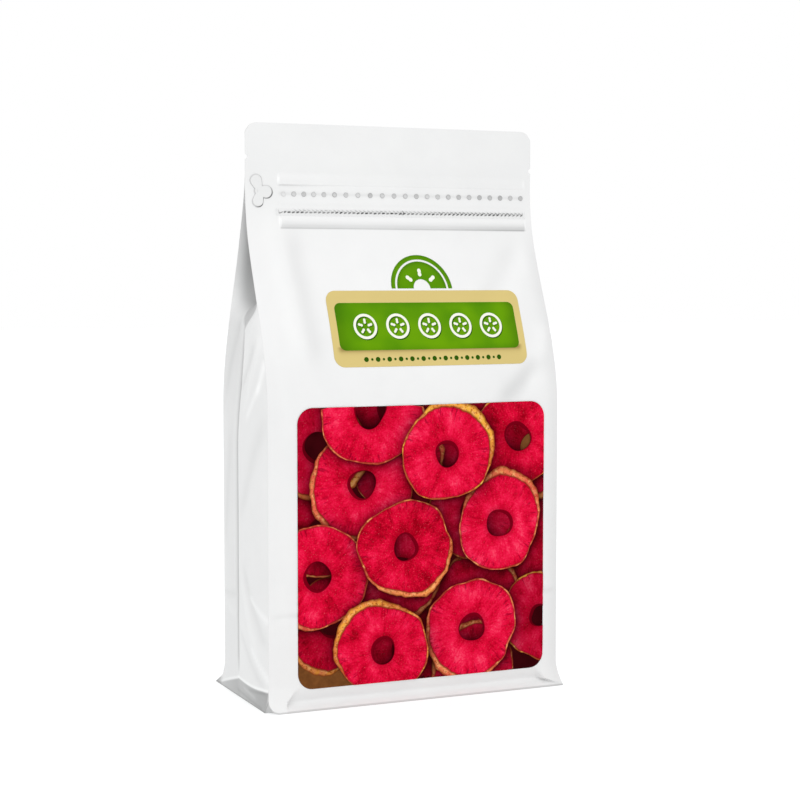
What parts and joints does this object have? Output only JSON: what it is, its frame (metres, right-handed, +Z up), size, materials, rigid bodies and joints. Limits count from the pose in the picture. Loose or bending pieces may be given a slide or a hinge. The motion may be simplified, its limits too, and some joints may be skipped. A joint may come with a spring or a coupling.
{
  "type": "stand-up pouch of dried apple rings",
  "caption": "Shut flat-bottomed side-gusset pouch of white film with a pocket zip, a tear tab, a plain badge and a printed picture of dried apple rings.",
  "frame": {"origin": "on the floor, at the centre of the pouch's flat base", "axes": "+Z up, along the pouch's height; +X to the right, seen from the front; the printed front faces -Y"},
  "size_m": [0.158, 0.0744, 0.2724],
  "materials": {
    "film": "satin white laminated film",
    "picture_print": "satin printed film, red with golden rims",
    "badge_tan_print": "satin printed film",
    "badge_green_print": "satin printed film"
  },
  "bodies": {
    "root": {"pouch": "film", "picture_panel": "picture_print", "badge_card": "badge_tan_print", "badge_field": "badge_green_print", "badge_slice": "badge_green_print"}
  },
  "joints": []
}
